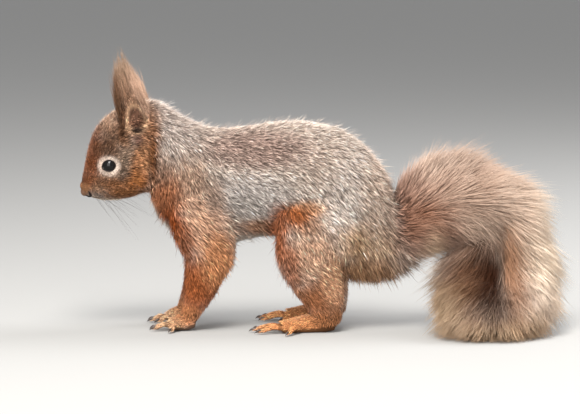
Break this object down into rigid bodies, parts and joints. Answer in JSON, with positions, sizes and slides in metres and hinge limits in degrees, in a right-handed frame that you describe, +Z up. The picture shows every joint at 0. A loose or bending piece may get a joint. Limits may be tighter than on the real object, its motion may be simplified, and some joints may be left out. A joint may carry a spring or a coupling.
{
  "type": "red squirrel figure",
  "caption": "Life-size still model of a red squirrel standing on all four feet, head lowered, with tall ear tufts and a bushy tail whose end lies on the floor.",
  "frame": {"origin": "middle of the model's box, at the level of the soles", "axes": "+Z up, the animal looks along -X and its left side is at -Y"},
  "size_m": [0.3051, 0.133, 0.1769],
  "materials": {
    "russet": "short orange-red fur with pale tips",
    "grizzled": "close fur with each hair dark at the root and pale fawn at the tip",
    "tail_coat": "long soft hair, fawn-brown with cream ends",
    "claw": "dark horn with a dull polish",
    "eye": "wet black gloss",
    "nose_skin": "dark bare skin, finely grained, slightly moist"
  },
  "bodies": {
    "root": {"belly_and_rump": "grizzled", "chest": "grizzled", "ear_left": "russet", "ear_right": "russet", "ear_tuft_left": "russet", "ear_tuft_right": "russet", "eye_left": "eye", "eye_right": "eye", "foot_claw_left_1": "claw", "foot_claw_left_2": "claw", "foot_claw_left_3": "claw", "foot_claw_left_4": "claw", "foot_claw_left_5": "claw", "foot_claw_right_1": "claw", "foot_claw_right_2": "claw", "foot_claw_right_3": "claw", "foot_claw_right_4": "claw", "foot_claw_right_5": "claw", "foot_left": "russet", "foot_right": "russet", "forearm_left": "russet", "forearm_right": "russet", "hand_claw_left_1": "claw", "hand_claw_left_2": "claw", "hand_claw_left_3": "claw", "hand_claw_left_4": "claw", "hand_claw_right_1": "claw", "hand_claw_right_2": "claw", "hand_claw_right_3": "claw", "hand_claw_right_4": "claw", "hand_left": "russet", "hand_right": "russet", "head": "russet", "neck": "grizzled", "nose": "nose_skin", "shank_left": "russet", "shank_right": "russet", "tail_crown": "tail_coat", "tail_fall": "tail_coat", "tail_rise": "tail_coat", "tail_root": "tail_coat", "tail_tip": "tail_coat", "thigh_left": "grizzled", "thigh_right": "grizzled", "upper_arm_left": "russet", "upper_arm_right": "russet"}
  },
  "joints": []
}
